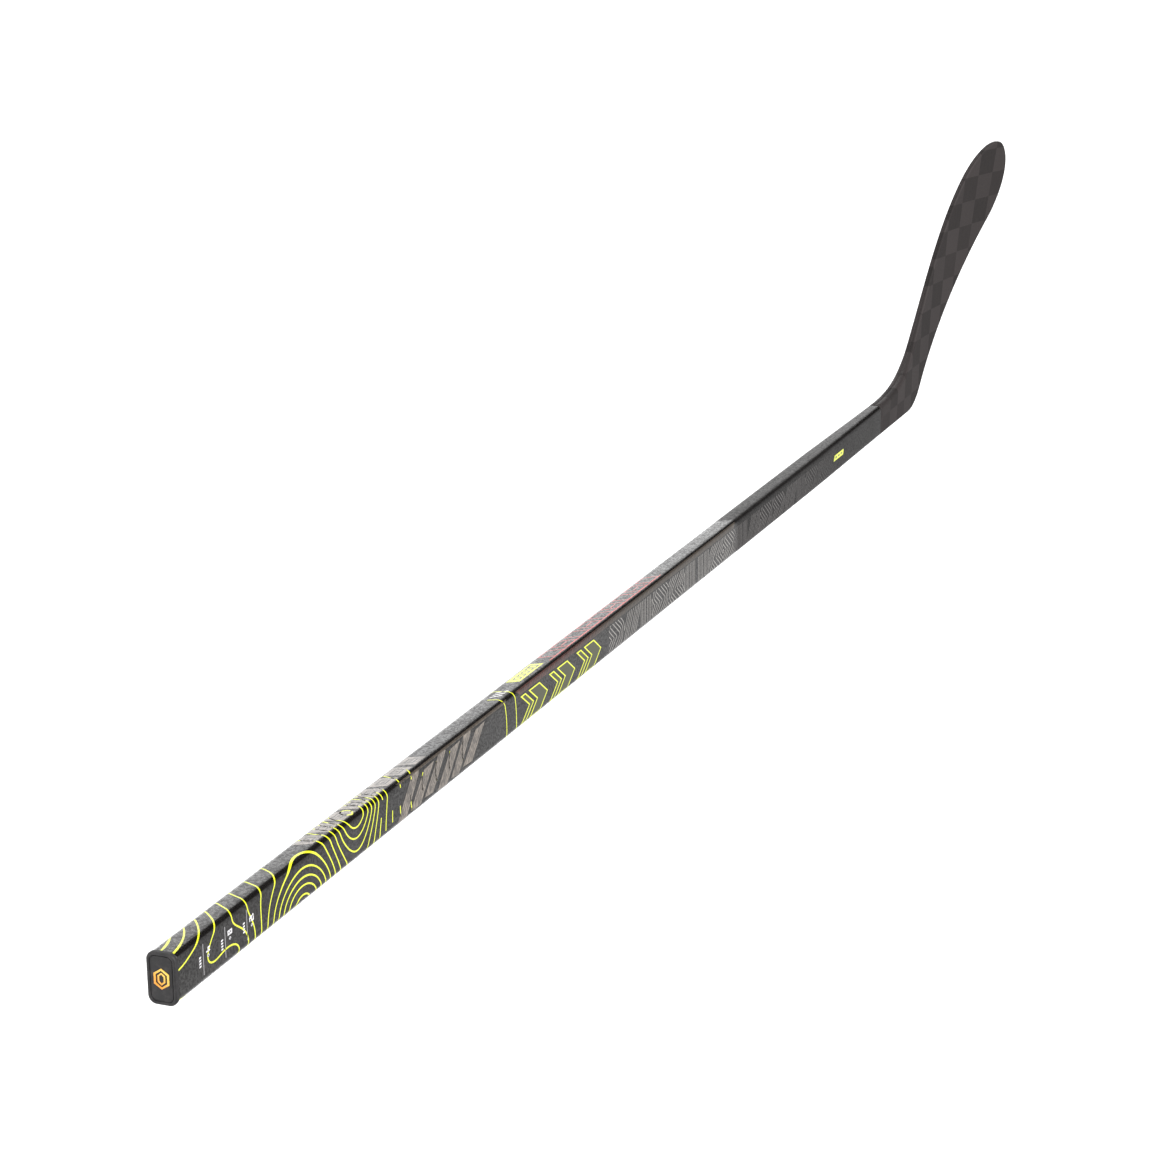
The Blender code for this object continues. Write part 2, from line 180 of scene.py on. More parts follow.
def add_mesh(name, bm, material):
    """Turns a bmesh into an object of the scene."""
    mesh = bpy.data.meshes.new(name)
    bm.to_mesh(mesh)
    bm.free()
    mesh.materials.append(material)
    return add_object(name, mesh)


def add_piece(name, bm, material, body):
    """Turns a bmesh into a piece of the stick that rides on its body."""
    obj = add_mesh(name, bm, material)
    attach(obj, body)
    return obj


def add_solid(name, bm, material, body, sharp=35.0):
    """Adds a closed piece with its normals out, shaded smooth up to an angle; 0 leaves it flat."""
    bmesh.ops.recalc_face_normals(bm, faces=bm.faces)
    obj = add_piece(name, bm, material, body)
    if sharp:
        obj.data.shade_smooth()
        obj.data.set_sharp_from_angle(angle=math.radians(sharp))
    return obj


# ---- the blade's shape

def blade_share(x, y):
    """How far along the blade a point lies, as a share of its length; negative on the shaft."""
    return (Vector((x, y)) - HEEL).dot(ALONG) / BLADE_LENGTH


def lift(x, y):
    """Height of the middle surface: the blade curves towards the forehand and its face opens."""
    share = max(blade_share(x, y), 0.0)
    upward = (Vector((x, y)) - HEEL).dot(UPWARD)
    opening = (upward - OPENING_AXIS) * math.tan(FACE_OPENING) * min(share, 1.0)
    return CURVE_DEPTH * share ** CURVE_POWER - opening


def thickness_at(x, y):
    return smooth_value(blade_share(x, y), THICKNESSES)


def bottom_rise(u):
    """The rocker: how far the bottom edge bends up towards the toe."""
    share = u / BLADE_LENGTH - ROCKER_START
    return ROCKER * (max(share, 0.0) / (1 - ROCKER_START)) ** 2


def height_at(u):
    """The blade's height, which rises smoothly from the heel to where the toe starts to round."""
    return smooth_value(u / BLADE_LENGTH, ((HEEL_SHARE, HEEL_HEIGHT), (TOE_SHARE, TOE_HEIGHT)))


def on_blade(u, v):
    return HEEL + u * ALONG + v * UPWARD


def throat_bottom(t):
    """The bottom edge from the shaft's end, round the heel, to the blade; t runs from 0 to 1."""
    tangent = HEEL_RADIUS * math.tan(LIE_TURN / 2)
    arc_start = STICK_LENGTH - tangent
    straight = arc_start - SKIN_START
    bend = HEEL_RADIUS * LIE_TURN
    distance = t * (straight + bend + HEEL_SHARE * BLADE_LENGTH - tangent)
    if distance < straight:
        return Vector((SKIN_START + distance, -SHAFT_WIDTH / 2))
    if distance < straight + bend:
        angle = (distance - straight) / HEEL_RADIUS
        return Vector((arc_start + HEEL_RADIUS * math.sin(angle),
                       -SHAFT_WIDTH / 2 + HEEL_RADIUS * (1 - math.cos(angle))))
    return on_blade(distance - straight - bend + tangent, 0.0)


def throat_top(t):
    """The top edge from the shaft's end along the throat's curve to the blade."""
    finish = on_blade(HEEL_SHARE * BLADE_LENGTH, HEEL_HEIGHT)
    start = Vector((finish.x - THROAT_LENGTH, SHAFT_WIDTH / 2))
    flat = start.x - SKIN_START
    pull = (finish - start).length
    distance = t * (flat + pull)
    if distance < flat:
        return Vector((SKIN_START + distance, SHAFT_WIDTH / 2))
    s = (distance - flat) / pull
    ends = (1 + 2 * s) * (1 - s) ** 2 * start + s * s * (3 - 2 * s) * finish
    leave = s * (1 - s) ** 2 * pull * Vector((1.0, 0.0))
    arrive = s * s * (1 - s) * pull * ALONG
    return ends + leave - arrive


def blade_cuts():
    """Pairs of bottom and top edge points, from the shaft's end to the tip of the toe."""
    cuts = [(throat_bottom(t), throat_top(t)) for t in evenly(0.0, 1.0, THROAT_STEPS)]
    for u in evenly(HEEL_SHARE * BLADE_LENGTH, TOE_SHARE * BLADE_LENGTH, BLADE_STEPS)[1:]:
        low = bottom_rise(u)
        cuts.append((on_blade(u, low), on_blade(u, low + height_at(u))))
    u = TOE_SHARE * BLADE_LENGTH
    low = bottom_rise(u)
    tip = low + TOE_LOW_SHARE * TOE_HEIGHT
    for angle in evenly(0.0, math.pi / 2, TOE_STEPS)[1:]:
        reach = (BLADE_LENGTH - u) * math.sin(angle)
        share = math.cos(angle)
        cuts.append((on_blade(u + reach, tip - (tip - low) * share),
                     on_blade(u + reach, tip + (low + TOE_HEIGHT - tip) * share)))
    return cuts


def distance_to_lines(points, starts, ends):
    """The distance from each point to the nearest of some straight lines, all in the plane."""
    nearest = np.full(len(points), np.inf)
    for start, end in zip(starts, ends):
        run = end - start
        share = np.clip((points - start) @ run / max(run @ run, 1e-18), 0.0, 1.0)
        nearest = np.minimum(nearest, np.linalg.norm(points - start - share[:, None] * run, axis=1))
    return nearest


def make_skin(name, side, material):
    """One half of the blade's shell, with an edge rounded all the way round the toe."""
    cuts = blade_cuts()
    edge = np.array([tuple(low) for low, high in cuts] + [tuple(high) for low, high in reversed(cuts)])
    places, halves, corners = [], [], []
    for low, high in cuts:
        height = (high - low).length
        middle = (low + high) / 2
        thickness = thickness_at(*middle)
        corner = min(SHAFT_CORNER, EDGE_RADIUS_SHARE * thickness)
        reach = min(corner, height / 2.2)
        near = [reach * (1 - math.cos(angle)) for angle in evenly(0.0, math.pi / 2, CORNER_STEPS)]
        across = near + evenly(reach, height - reach, FACE_STEPS)[1:-1] + [height - a for a in reversed(near)]
        for a in across:
            places.append(low.lerp(high, a / height if height > 1e-9 else 0.0))
        halves += [thickness / 2] * len(across)
        corners += [corner] * len(across)
    count = len(places) // len(cuts)
    points = np.array([tuple(place) for place in places])
    corners, halves = np.array(corners), np.array(halves)
    depth = np.minimum(distance_to_lines(points, edge[:-1], edge[1:]), corners)
    rise = halves - corners + np.sqrt(np.maximum(corners ** 2 - (corners - depth) ** 2, 0.0))
    bm = bmesh.new()
    rings = []
    for k in range(len(cuts)):
        ring = []
        for i in range(k * count, (k + 1) * count):
            x, y = points[i]
            ring.append((x, y, lift(x, y) + side * rise[i]))
        first, last = ring[0], ring[-1]
        ring = [(first[0], first[1], lift(*first[:2]))] + ring + [(last[0], last[1], lift(*last[:2]))]
        rings.append([bm.verts.new(Vector(point) + BUTT) for point in ring])
    join_rings(bm, rings, closed_ring=False)
    bmesh.ops.remove_doubles(bm, verts=bm.verts, dist=1e-6)
    bmesh.ops.dissolve_degenerate(bm, dist=1e-7, edges=bm.edges)
    for face in bm.faces:
        face.normal_update()
    facing = sum(face.normal.z * face.calc_area() for face in bm.faces)
    if facing * side < 0:
        bmesh.ops.reverse_faces(bm, faces=bm.faces)
    skin = add_piece(name, bm, material, "stick")
    skin.data.shade_smooth()
    shell = skin.modifiers.new("wall", "SOLIDIFY")
    shell.thickness = SKIN_WALL
    shell.offset = -1.0
    return skin


# ---- the shaft's surface

def ring_at(bm, x, width, thickness, corner):
    """A ring of points round the shaft: a rectangle with round corners."""
    side, up = width / 2 - corner, thickness / 2 - corner
    outline = []
    for k, (y, z) in enumerate(((side, up), (-side, up), (-side, -up), (side, -up))):
        outline += arc((y, z), corner, 90 * k, 90 * (k + 1), CORNER_STEPS)
    return [bm.verts.new(Vector((x, y, z)) + BUTT) for y, z in outline]


TAPER_PLACES = np.linspace(0.0, SHAFT_END, 400)
TAPER_VALUES = np.array([thickness_at(x, 0.0) for x in TAPER_PLACES])


FACE_HALF = SHAFT_WIDTH / 2 - SHAFT_CORNER
BEND = SHAFT_CORNER * math.pi / 2
SIDE_START = FACE_HALF + BEND
SIDE_MIDDLE = SIDE_START + SHAFT_THICKNESS / 2 - SHAFT_CORNER
HALF_PERIMETER = 2 * SIDE_MIDDLE


def shaft_points(flat):
    """Places on the shaft for rows of (along, around, height). The back is measured from its own middle."""
    along, around, height = flat.T
    around = (around + HALF_PERIMETER) % (2 * HALF_PERIMETER) - HALF_PERIMETER
    thickness = np.interp(along, TAPER_PLACES, TAPER_VALUES)
    corner = np.minimum(SHAFT_CORNER, EDGE_RADIUS_SHARE * thickness)
    face, side, bend = SHAFT_WIDTH / 2 - corner, thickness / 2 - corner, corner * math.pi / 2
    reach = np.abs(around)
    behind = reach > SIDE_MIDDLE
    reach = np.where(behind, HALF_PERIMETER - reach, reach)
    turn = np.clip((reach - face) / corner, 0.0, math.pi / 2)
    y = np.minimum(reach, face) + (corner + height) * np.sin(turn)
    z = side - np.maximum(reach - face - bend, 0.0) + (corner + height) * np.cos(turn)
    z = np.where(behind, -z, z)
    return np.stack([along, np.sign(around) * y, z], axis=1) + np.array(BUTT)


def make_shaft_shell(material):
    """The tube: outer surface, bore, a small chamfer at the butt and a plain cut at the blade."""
    bm = bmesh.new()
    start = CAP_THICKNESS + GAP
    places = [start, start + 0.0003, 0.3, 0.6, 0.9] + evenly(TAPER_START, SHAFT_END, 24)
    outer, inner = [], []
    for k, x in enumerate(places):
        shrink = 0.0003 if k == 0 else 0.0
        thickness = thickness_at(x, 0.0)
        corner = min(SHAFT_CORNER, EDGE_RADIUS_SHARE * thickness)
        outer.append(ring_at(bm, x, SHAFT_WIDTH - 2 * shrink, thickness - 2 * shrink, corner - shrink))
        inner.append(ring_at(bm, x, SHAFT_WIDTH - 2 * SHAFT_WALL, thickness - 2 * SHAFT_WALL,
                             SHAFT_CORNER - SHAFT_WALL))
    loops = outer + inner[::-1]
    join_rings(bm, loops + loops[:1])
    shell = add_solid("shaft_shell", bm, material, "stick")
    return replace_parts(shell, "shaft_tube")


# ---- the butt plug

def make_cap(material):
    """The rubber cap: a wide rounded rim, a fine groove, and a flat panel a little lower than the rim."""
    width, thickness = SHAFT_WIDTH + CAP_OVERSIZE, SHAFT_THICKNESS + CAP_OVERSIZE
    profile = [(CAP_THICKNESS, 0.35 * MM), (CAP_THICKNESS - 0.15 * MM, 0.1 * MM), (2.2 * MM, 0.0)]
    profile += [(1.1 * MM + x, 1.1 * MM + y) for x, y in arc((0.0, 0.0), 1.1 * MM, 270, 180, 8)]
    profile += [(0.0, 1.75 * MM), (0.12 * MM, 1.95 * MM), (0.75 * MM, 2.1 * MM), (0.8 * MM, 2.35 * MM),
                (0.42 * MM, 2.5 * MM), (0.36 * MM, 2.7 * MM)]
    bm = bmesh.new()
    rings = []
    for x, inset in profile:
        corner = max(SHAFT_CORNER + 0.2 * MM - 0.8 * inset, 1.5 * MM)
        rings.append(ring_at(bm, x, width - 2 * inset, thickness - 2 * inset, corner))
    join_rings(bm, rings, capped=True)
    cap = add_solid("butt_cap", bm, material, "end_plug", sharp=50.0)
    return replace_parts(cap, "end_cap")


def hexagon(half_width, half_height):
    """A long hexagon across the shaft's axis, pointed towards the narrow sides."""
    return [(half_width, 0.0), (half_width * 0.5, half_height), (-half_width * 0.5, half_height),
            (-half_width, 0.0), (-half_width * 0.5, -half_height), (half_width * 0.5, -half_height)]


def make_emblem(material):
    """Two plain hexagonal rings, one in the other, that stand on the cap's panel with softened edges."""
    soft = 0.15 * MM
    profile = [(0.8 * MM, 0.0), (soft, 0.0), (0.0, soft), (0.0, EMBLEM_LINE - soft), (soft, EMBLEM_LINE),
               (0.8 * MM, EMBLEM_LINE)]
    bm = bmesh.new()
    for shrink in (0.0, 2.4 * MM):
        rings = []
        for x, inset in profile:
            inset = shrink + inset * (1.0 if shrink == 0.0 else 0.8)
            outline = hexagon(EMBLEM_HALF_WIDTH - inset, EMBLEM_HALF_HEIGHT - inset)
            rings.append([bm.verts.new(Vector((x, y, z)) + BUTT) for y, z in outline])
        join_rings(bm, rings + rings[:1])
    emblem = add_solid("cap_hexagon", bm, material, "end_plug", sharp=0.0)
    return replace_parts(emblem, "cap_emblem")


def make_stem(material):
    """The plug's stem: a cup with rounded crush ribs, open towards the blade."""
    root = CAP_THICKNESS + GAP
    width = SHAFT_WIDTH - 2 * SHAFT_WALL - 2 * GAP
    thickness = SHAFT_THICKNESS - 2 * SHAFT_WALL - 2 * GAP
    corner = SHAFT_CORNER - SHAFT_WALL - GAP
    profile = [(root, RIB_HEIGHT)]
    for start in RIB_STARTS:
        profile.append((start, RIB_HEIGHT))
        for step in evenly(0.1, 1.0, 9):
            crest = math.sin(math.pi * min(step * 1.25, 0.5 + 0.5 * step) ** 0.8)
            profile.append((start + RIB_LENGTH * step, RIB_HEIGHT * (1 - max(crest, 0.0))))
    profile += [(STEM_END - 0.4 * MM, RIB_HEIGHT), (STEM_END, RIB_HEIGHT + 0.4 * MM),
                (STEM_END, RIB_HEIGHT + STEM_WALL), (root + STEM_WALL, RIB_HEIGHT + STEM_WALL)]
    bm = bmesh.new()
    rings = [ring_at(bm, x, width - 2 * inset, thickness - 2 * inset, corner - min(inset, 0.6 * corner))
             for x, inset in profile]
    join_rings(bm, rings, capped=True)
    stem = add_solid("ribbed_stem", bm, material, "end_plug", sharp=40.0)
    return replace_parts(stem, "plug_stem")


# ---- printing on the shaft

PRINT_HEIGHT = 0.05 * MM
TOP_HEIGHT = PRINT_HEIGHT + 0.02 * MM
GROUND_HEIGHT = PRINT_HEIGHT - 0.01 * MM
PRINT_SINK = 0.04 * MM
FOLD_ANGLES = 6


def fold_lines():
    """Where a print bends: lines along the shaft, close together round each of its four corners."""
    front = [FACE_HALF + BEND * k / FOLD_ANGLES for k in range(FOLD_ANGLES + 1)]
    back = [HALF_PERIMETER - line for line in front]
    lines = [side * line for line in front + back for side in (1, -1)]
    return [line + turn * 2 * HALF_PERIMETER for line in lines for turn in (-1, 0, 1)]


def cut_at(bm, place, axis):
    """Cuts every face of a flat print across, at a place on one axis."""
    bmesh.ops.bisect_plane(bm, geom=bm.verts[:] + bm.edges[:] + bm.faces[:], dist=1e-7,
                           plane_co=place * axis, plane_no=axis)


def print_on_shaft(name, polygons, material, height=PRINT_HEIGHT):
    """A thin raised layer on the shaft, from flat polygons of (along, around) points."""
    bm = bmesh.new()
    for polygon in polygons:
        bm.faces.new([bm.verts.new((along, around, 0.0)) for along, around in polygon])
    bmesh.ops.remove_doubles(bm, verts=bm.verts, dist=1e-6)
    reach = [vert.co.y for vert in bm.verts]
    for line in fold_lines():
        if min(reach) < line < max(reach):
            cut_at(bm, line, Vector((0.0, 1.0, 0.0)))
    furthest = max(vert.co.x for vert in bm.verts)
    for place in evenly(TAPER_START, SHAFT_END, 20):
        if place < furthest:
            cut_at(bm, place, Vector((1.0, 0.0, 0.0)))
    bmesh.ops.triangulate(bm, faces=bm.faces)
    extruded = bmesh.ops.extrude_face_region(bm, geom=bm.faces[:], use_keep_orig=True)
    raised = {part for part in extruded["geom"] if isinstance(part, bmesh.types.BMVert)}
    for vert in bm.verts:
        vert.co.z = height if vert in raised else -PRINT_SINK
    bmesh.ops.recalc_face_normals(bm, faces=bm.faces)
    placed = shaft_points(np.array([tuple(vert.co) for vert in bm.verts]))
    for vert, place in zip(bm.verts, placed):
        vert.co = place
    add_piece(name, bm, material, "stick")


def offset_outline(points, distance):
    """A closed outline moved inwards by distance, with mitred corners. It runs anticlockwise."""
    moved = []
    count = len(points)
    for i in range(count):
        before, here, after = (Vector(points[(i + k) % count]) for k in (-1, 0, 1))
        first = (here - before).normalized()
        second = (after - here).normalized()
        inward = Vector((-first.y - second.y, first.x + second.x))
        scale = 2.0 / max(inward.length_squared, 0.3)
        moved.append(tuple(here + inward * (distance * scale)))
    return moved


def framed(points, width):
    """The quads of a line of even width, drawn just inside a closed outline."""
    inner = offset_outline(points, width)
    count = len(points)
    return [[points[i], points[(i + 1) % count], inner[(i + 1) % count], inner[i]] for i in range(count)]


def stroke(points, widths):
    """The quads of a line through points, mitred where it bends. widths is one width, or one for each."""
    if isinstance(widths, float):
        widths = [widths] * len(points)
    closed = points[0] == points[-1] and len(points) > 3
    points = [Vector(point) for point in points]
    last = len(points) - 1
    sides = []
    for i, (here, width) in enumerate(zip(points, widths)):
        before = points[i - 1] if i > 0 else points[last - 1] if closed else None
        after = points[i + 1] if i < last else points[1] if closed else None
        first = (here - before).normalized() if before else None
        second = (after - here).normalized() if after else first
        first = first or second
        across = Vector((-first.y - second.y, first.x + second.x))
        across *= width / max(across.length_squared, 1.2)
        sides.append((tuple(here - across), tuple(here + across), width))
    thinnest = 0.3 * MM
    return [[a[0], b[0], b[1], a[1]] for a, b in zip(sides, sides[1:]) if min(a[2], b[2]) > thinnest]


def slanted_bar(along, around, length, height, slant):
    """A parallelogram centred at (along, around); its ends lean by slant along for each unit around."""
    corners = ((-1, -1), (1, -1), (1, 1), (-1, 1))
    return [(along + a * length / 2 + b * slant * height / 2, around + b * height / 2) for a, b in corners]


def chevron(along, around, length, height, point):
    """An arrow-like band that points along the shaft, anticlockwise from its lower left."""
    low, high = around - height / 2, around + height / 2
    back, front = along - length / 2, along + length / 2
    return [(back, low), (front, low), (front + point, around), (front, high), (back, high),
            (back + point, around)]


# ---- contour lines, as on a map

class Hill:
    """A smooth rise (or a hollow, if its height is negative) of the map that the contours are drawn from."""

    def __init__(self, along, around, length, width, height):
        self.along, self.around = along * MM, around * MM
        self.length, self.width = length * MM, width * MM
        self.height = height

    def rise(self, along, around):
        turn = (around - self.around) / HALF_PERIMETER * math.pi / 2
        across = 2 * HALF_PERIMETER / math.pi * np.sin(turn)
        return self.height * np.exp(-((along - self.along) / self.length) ** 2 - (across / self.width) ** 2)


BASE_LEVEL = 0.5
HILLS = (
    Hill(along=150, around=-15, length=35, width=22, height=6),    # a round hill by the lower corner
    Hill(along=225, around=20, length=30, width=28, height=-6),    # a basin by the toe-side corner
    Hill(along=0, around=40, length=70, width=35, height=-8),      # the ground falls away at the butt
    Hill(along=70, around=-10, length=25, width=15, height=-2),    # a dip among the trim marks
    Hill(along=320, around=0, length=60, width=80, height=5),      # a long rise to the brush strokes
)
LINE_WIDTH = 1.05 * MM
BOLD_WIDTH = 1.8 * MM
CELL = 1.5 * MM
MAP_START = CAP_THICKNESS + GAP + 0.3 * MM
MAP_END = 309 * MM
BROKEN_START = 258 * MM


def map_height(along, around):
    return BASE_LEVEL + sum(hill.rise(along, around) for hill in HILLS)


def line_width(along, around, level):
    """The contour's width: bold near the rings and the butt, and broken towards the brush strokes."""
    bold = math.exp(-((along - 145 * MM) / (34 * MM)) ** 2 - ((around - 12 * MM) / (9 * MM)) ** 2)
    bold += math.exp(-((along - 12 * MM) / (7 * MM)) ** 2 - ((around - 20 * MM) / (8 * MM)) ** 2)
    bold *= 1.0 if level % 2 == 0 else 0.4
    width = LINE_WIDTH + (BOLD_WIDTH - LINE_WIDTH) * min(bold, 1.0)
    wave = math.sin((around - 0.2 * along) * 2 * math.pi / (19 * MM) + 0.9 * level)
    if along > BROKEN_START and wave < -0.55:
        return 0.0
    return width


def level_chains(along, around, height, level):
    """The lines where a gridded height equals level, each as a chain of (along, around) points."""
    above = height > level
    high_corners = above[:-1, :-1].astype(int) + above[1:, :-1] + above[1:, 1:] + above[:-1, 1:]
    links = {}
    for i, j in zip(*np.nonzero((high_corners > 0) & (high_corners < 4))):
        ring = [(i, j), (i + 1, j), (i + 1, j + 1), (i, j + 1)]
        sides = zip(ring, ring[1:] + ring[:1])
        cut = [tuple(sorted((a, b))) for a, b in sides if above[a] != above[b]]
        for first, second in zip(cut[::2], cut[1::2]):
            links.setdefault(first, []).append(second)
            links.setdefault(second, []).append(first)
    chains = []
    ends = [edge for edge, others in links.items() if len(others) == 1]
    for start in ends + list(links):
        chain = [start]
        while links[chain[-1]]:
            following = links[chain[-1]].pop()
            links[following].remove(chain[-1])
            chain.append(following)
        if len(chain) > 2:
            chains.append([crossing(along, around, height, level, *edge) for edge in chain])
    return chains


def crossing(along, around, height, level, a, b):
    """Where the level is met on the grid's edge from a to b."""
    share = (level - height[a]) / (height[b] - height[a])
    return (along[a[0]] + (along[b[0]] - along[a[0]]) * share,
            around[a[1]] + (around[b[1]] - around[a[1]]) * share)


def simplified(points, tolerance):
    """Leaves out the points that lie within tolerance of the line between the kept ones."""
    kept = [0]
    for i in range(2, len(points)):
        start, end = Vector(points[kept[-1]]), Vector(points[i])
        run = end - start
        length = max(run.length, 1e-9)
        offsets = [abs(run.cross(Vector(point) - start)) / length for point in points[kept[-1] + 1:i]]
        if max(offsets) > tolerance:
            kept.append(i - 1)
    return [points[k] for k in kept] + [points[-1]]


def contour_polygons():
    along = np.append(np.arange(MAP_START, MAP_END, CELL), MAP_END)
    around = np.linspace(-HALF_PERIMETER, HALF_PERIMETER, 90)
    height = map_height(*np.meshgrid(along, around, indexing="ij"))
    polygons = []
    for level in range(math.ceil(height.min()), math.ceil(height.max())):
        for chain in level_chains(along, around, height, level):
            chain = simplified(chain, 0.03 * MM)
            polygons += stroke(chain, [line_width(*point, level) for point in chain])
    return polygons


def lone_arcs():
    """Two wide arcs beyond the brush strokes, as of one more hill, and short arcs between the strokes."""
    wide = [arc((400 * MM, -6 * MM), radius * MM, -20, 32, 16) for radius in (56, 73)]
    short = [arc(((332 + 21 * k) * MM, 2 * MM), 14 * MM, 150, 205, 6) for k in range(4)]
    return wide + short


def make_contours(neon):
    lines = [quad for points in lone_arcs() for quad in stroke(points, LINE_WIDTH)]
    print_on_shaft("contour_lines", contour_polygons() + lines, neon)


# ---- the other prints

TRIM_LINES = (31 * MM, 56 * MM, 81.5 * MM)
TRIM_NUMBERS = ("4", "8", "12")
NUMBER_SHIFT = 5.6 * MM
DIGIT_UNIT = 1.05 * MM
# The strokes of each sign, as (right, up) points in digit units.
DIGIT_STROKES = {
    "1": [[(-0.3, 1.3), (0.5, 2.0), (0.5, -2.0)]],
    "2": [[(-1, 2), (1, 2), (1, 0), (-1, 0), (-1, -2), (1, -2)]],
    "4": [[(-1, 2), (-1, 0), (1, 0)], [(1, 2), (1, -2)]],
    "8": [[(-1, -2), (1, -2), (1, 2), (-1, 2), (-1, -2)], [(-1, 0), (1, 0)]],
    "+": [[(-0.9, 0), (0.9, 0)], [(0, -1), (0, 1)]],
}


def make_trim_scale(white, grey):
    """The trim marks near the butt: a line across the face, a number beside it and four ticks."""
    lines, numbers = [], []
    for place, number in zip(TRIM_LINES, TRIM_NUMBERS):
        lines += stroke([(place, -9.3 * MM), (place, 9.2 * MM)], 0.75 * MM)
        for k in range(4):
            around = 2.4 * MM - k * 1.75 * MM
            numbers.append(slanted_bar(place - 3.6 * MM, around, 2.1 * MM, 1.0 * MM, 0.3))
        reading = 4.0 * MM
        for sign in number + "+":
            for points in DIGIT_STROKES[sign]:
                turned = [(place + NUMBER_SHIFT + up * DIGIT_UNIT, reading - right * MM)
                          for right, up in points]
                numbers += stroke(turned, 0.95 * MM)
            reading -= 2.3 * MM if sign == "1" else 3.7 * MM
    print_on_shaft("trim_lines", lines, grey)
    print_on_shaft("trim_numbers", numbers, white, height=TOP_HEIGHT)


STROKE_COUNT = 6
STROKE_START = 298 * MM
STROKE_PITCH = 20.5 * MM
STROKE_LEAN = 11 * MM


def make_brush_strokes(bronze, dark):
    """A row of slanted bronze brush strokes over the forehand face, with thin dark scratches in them."""
    strokes, scratches = [], []
    for k in range(STROKE_COUNT):
        middle = STROKE_START + STROKE_PITCH * k
        half = (6.5 + 1.0 * (k % 2)) * MM
        upper, lower = (12 - 2 * (k % 2)) * MM, (-13 + 1.5 * (k % 3)) * MM
        a = Vector((middle + STROKE_LEAN - half, upper))
        b = Vector((middle + STROKE_LEAN + half, upper + MM))
        c = Vector((middle - STROKE_LEAN + half, lower))
        d = Vector((middle - STROKE_LEAN - half, lower + MM))
        strokes.append([tuple(corner) for corner in (d, c, b, a)])
        for j in range(3):
            share = (j + 1) / 4
            start, end = 0.04 + 0.07 * ((j * 2 + k) % 3), 0.96 - 0.09 * ((j + k) % 3)
            high, low = a.lerp(b, share), d.lerp(c, share)
            scratches += stroke([tuple(high.lerp(low, start)), tuple(high.lerp(low, end))], 0.45 * MM)
    print_on_shaft("brush_strokes", strokes, bronze)
    print_on_shaft("brush_scratches", scratches, dark, height=TOP_HEIGHT)


BLOCK_COUNT = 8
BLOCK_START = 176
BLOCK_PITCH = 20.7
BLOCK_SLANT = -0.6


def make_side_blocks(stone, dark):
    """A row of slanted blocks along the toe-side face, each with a small dark ring and a dot in it."""
    blocks, marks = [], []
    for k in range(BLOCK_COUNT):
        along = (BLOCK_START + BLOCK_PITCH * k) * MM
        blocks.append(slanted_bar(along, SIDE_MIDDLE, 16.5 * MM, 10.6 * MM, BLOCK_SLANT))
        marks += framed(slanted_bar(along, SIDE_MIDDLE, 8.5 * MM, 5.4 * MM, BLOCK_SLANT), 0.75 * MM)
        marks.append(slanted_bar(along, SIDE_MIDDLE, 1.6 * MM, 1.6 * MM, BLOCK_SLANT))
    print_on_shaft("side_blocks", blocks, stone)
    print_on_shaft("side_block_marks", marks, dark, height=TOP_HEIGHT)


CHEVRON_START = 500
CHEVRON_PITCH = 52
CHEVRON_HEIGHT = 21.0 * MM
CHEVRON_MIDDLE = -2.2 * MM
CHEVRON_POINT = 15 * MM


def make_chevrons(neon, olive):
    """Three pairs of large chevrons on the forehand face: olive bands with a neon line round each."""
    fills, lines = [], []
    for k in range(3):
        along = (CHEVRON_START + CHEVRON_PITCH * k) * MM
        for shift, length in ((-15.0, 9.0), (5.0, 20.0)):
            place = along + shift * MM
            shape = chevron(place, CHEVRON_MIDDLE, length * MM, CHEVRON_HEIGHT, CHEVRON_POINT)
            fills.append(offset_outline(shape, 0.6 * MM))
            lines += framed(shape, 1.05 * MM)
    halves = [half for a, b, c, d, e, f in fills for half in ([a, b, c, f], [f, c, d, e])]
    print_on_shaft("chevron_bands", halves, olive, height=GROUND_HEIGHT)
    print_on_shaft("chevron_lines", lines, neon)


BADGE_SLANT = -0.7


def make_side_badge(neon, dark):
    """A filled neon panel on the toe-side face, with four dark rings and a larger one in it."""
    middle = SIDE_MIDDLE + 0.6 * MM
    panel = slanted_bar(511 * MM, middle, 43 * MM, 8.2 * MM, BADGE_SLANT)
    rings = []
    for k in range(4):
        bar = slanted_bar((497.5 + 7.2 * k) * MM, middle, 5.2 * MM, 4.8 * MM, BADGE_SLANT)
        rings += framed(bar, 0.95 * MM)
    rings += framed(slanted_bar(526 * MM, middle, 6.6 * MM, 6.0 * MM, BADGE_SLANT), 1.2 * MM)
    print_on_shaft("side_badge", [panel], neon)
    print_on_shaft("side_badge_rings", rings, dark, height=TOP_HEIGHT)


def make_side_ticks(white):
    """White ticks on the toe-side face before the neon panel."""
    ticks = [slanted_bar((457 + 5.2 * k) * MM, SIDE_MIDDLE - 0.8 * MM, 1.7 * MM, 6.0 * MM, -1.3)
             for k in range(3)]
    print_on_shaft("side_ticks", ticks, white)


RED_START = 543 * MM
RED_END = 772 * MM
RED_LINE = 0.85 * MM
RED_SLANT = -0.9


def make_red_outlines(red):
    """A row of slanted red outlines along the toe-side face, on a thin line at the corner."""
    edge = SIDE_START - 1.2 * MM
    lines = stroke([(RED_START, edge), (RED_END, edge)], 0.6 * MM)
    for k in range(9):
        along = (558 + 24.5 * k) * MM
        lines += framed(slanted_bar(along, SIDE_MIDDLE, 18 * MM, 10.5 * MM, RED_SLANT), RED_LINE)
        if k % 2:
            lines += stroke([(along - 5 * MM, SIDE_MIDDLE), (along + 5 * MM, SIDE_MIDDLE)], RED_LINE)
    print_on_shaft("red_outlines", lines, red)


